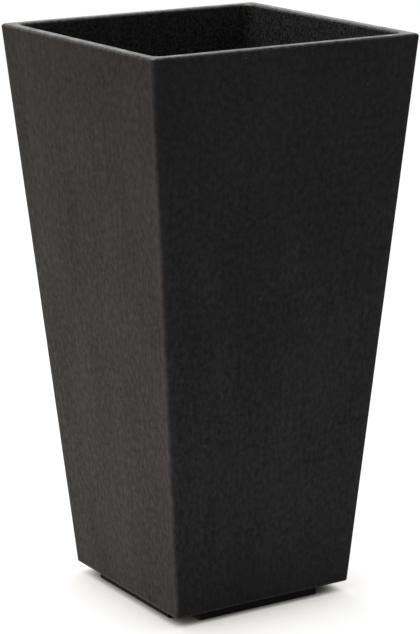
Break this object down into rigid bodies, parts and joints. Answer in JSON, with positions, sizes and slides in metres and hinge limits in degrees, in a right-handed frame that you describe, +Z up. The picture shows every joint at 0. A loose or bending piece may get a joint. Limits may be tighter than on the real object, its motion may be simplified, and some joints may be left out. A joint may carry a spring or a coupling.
{
  "type": "flower pot",
  "caption": "Tall square tapered floor planter with a thick plain rim, foot bars under its floor, drain stoppers that pull out and a loose soil shelf that lifts out of the mouth.",
  "frame": {"origin": "on the ground under the middle of the pot, at the level of the foot bars' undersides", "axes": "+Z up along the pot's axis, -Y out of the front face, +X to the right seen from the front"},
  "size_m": [0.3992, 0.3992, 0.765],
  "materials": {
    "shell_composite": "matte moulded recycled rubber composite, faint upright flow streaks",
    "foot_rubber": "plain black rubber",
    "plug_rubber": "smooth black rubber",
    "screw_steel": "stainless",
    "washer_steel": "stainless",
    "shelf_plastic": "fine grained black plastic"
  },
  "bodies": {
    "pot": {"pot_shell": "shell_composite", "foot_bar_front": "foot_rubber", "foot_bar_right": "foot_rubber", "foot_bar_back": "foot_rubber", "foot_bar_left": "foot_rubber", "foot_screws": "screw_steel", "foot_washers": "washer_steel"},
    "shelf": {"soil_shelf": "shelf_plastic"},
    "plug_left": {"drain_plug_left": "plug_rubber"},
    "plug_right": {"drain_plug_right": "plug_rubber"}
  },
  "joints": [
    {"name": "shelf_lift", "type": "slide", "parent": "pot", "child": "shelf", "axis": [0, 0, 1], "range_m": [0, 0.46]},
    {"name": "plug_left_pull", "type": "slide", "parent": "pot", "child": "plug_left", "axis": [0, 0, 1], "range_m": [0, 0.06]},
    {"name": "plug_right_pull", "type": "slide", "parent": "pot", "child": "plug_right", "axis": [0, 0, 1], "range_m": [0, 0.06]}
  ]
}
